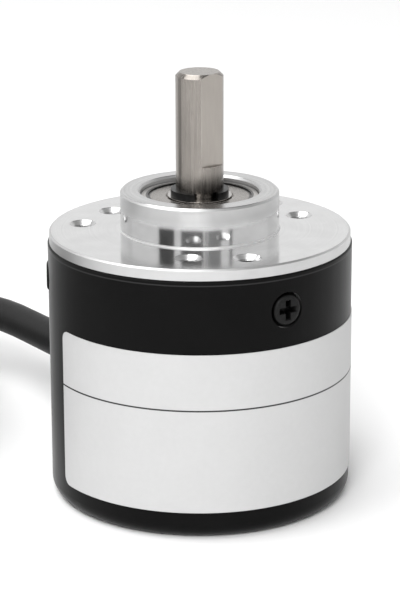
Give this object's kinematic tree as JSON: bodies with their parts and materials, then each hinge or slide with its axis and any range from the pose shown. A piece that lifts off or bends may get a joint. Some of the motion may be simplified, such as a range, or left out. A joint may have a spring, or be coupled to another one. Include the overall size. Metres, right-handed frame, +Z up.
{
  "type": "incremental rotary encoder",
  "caption": "Round shaft encoder: black can with a blank label, bright flange and pilot boss, D-cut shaft in ball bearings, slotted disc and light sensor inside, coiled side cable.",
  "frame": {"origin": "centre of the can's base, on the surface that it stands on", "axes": "+Z up along the shaft; -Y towards the side with the label, as the picture sees it; the cable leaves at the back, to the left"},
  "size_m": [0.1223, 0.077, 0.0545],
  "materials": {
    "black_can": "satin black",
    "turned_aluminium": "fine turned, bright",
    "black_screw": "black oxide",
    "label_film": "pale satin film",
    "bearing_steel": "ground",
    "ball_steel": "polished",
    "cage_brass": "pressed",
    "shield_steel": "pressed",
    "spring_steel": "plain",
    "shaft_steel": "ground and drawn",
    "black_spring_steel": "black oxide",
    "hub_brass": "turned",
    "disc_steel": "etched sheet",
    "mask_steel": "etched sheet",
    "board_green": "solder mask",
    "chip_black": "moulded",
    "chip_ceramic": "ceramic",
    "capacitor_can": "plain",
    "socket_white": "moulded",
    "holder_black": "moulded",
    "emitter_clear": "clear cast",
    "tinned_wire": "tinned",
    "grommet_rubber": "matt",
    "cable_jacket": "matt",
    "wire_red": "extruded",
    "wire_black": "extruded",
    "wire_green": "extruded",
    "wire_white": "extruded"
  },
  "bodies": {
    "housing": {"housing_can": "black_can", "front_flange": "turned_aluminium", "side_screws": "black_screw", "label": "label_film", "front_outer_ring": "bearing_steel", "front_shields": "shield_steel", "rear_outer_ring": "bearing_steel", "rear_shields": "shield_steel", "preload_washer": "spring_steel", "board_posts": "hub_brass", "circuit_board": "board_green", "board_screws": "spring_steel", "signal_chip": "chip_black", "driver_chip": "chip_black", "chip_parts": "chip_ceramic", "capacitor": "capacitor_can", "wire_socket": "socket_white", "emitter_holder": "holder_black", "holder_screws": "spring_steel", "light_emitter": "emitter_clear", "emitter_wires": "tinned_wire", "sensor_mask": "mask_steel", "light_sensor": "chip_black", "cable_grommet": "grommet_rubber", "cable_clamp": "spring_steel", "cable_inner_end": "cable_jacket", "inner_wires": "wire_red", "cable_lead": "cable_jacket", "cable_coil": "cable_jacket", "lead_red": "wire_red", "lead_black": "wire_black", "lead_green": "wire_green", "lead_white": "wire_white", "lead_shield": "tinned_wire"},
    "rotor": {"shaft": "shaft_steel", "front_inner_ring": "bearing_steel", "rear_inner_ring": "bearing_steel", "front_snap_ring": "black_spring_steel", "rear_snap_ring": "black_spring_steel", "disc_hub": "hub_brass", "hub_grub_screws": "black_screw", "code_disc": "disc_steel"},
    "front_ball_row": {"front_balls": "ball_steel", "front_cage": "cage_brass"},
    "rear_ball_row": {"rear_balls": "ball_steel", "rear_cage": "cage_brass"}
  },
  "joints": [
    {"name": "shaft_spin", "type": "hinge", "parent": "housing", "child": "rotor", "pos_m": [0, 0, 0.0363], "axis": [0, 0, 1], "continuous": true},
    {"name": "front_cage_spin", "type": "hinge", "parent": "housing", "child": "front_ball_row", "pos_m": [0, 0, 0.0363], "axis": [0, 0, 1], "continuous": true},
    {"name": "rear_cage_spin", "type": "hinge", "parent": "housing", "child": "rear_ball_row", "pos_m": [0, 0, 0.0287], "axis": [0, 0, 1], "continuous": true}
  ],
  "couplings": [
    {"joint": "front_cage_spin", "follows": "shaft_spin", "ratio": 0.3857},
    {"joint": "rear_cage_spin", "follows": "shaft_spin", "ratio": 0.3857}
  ]
}
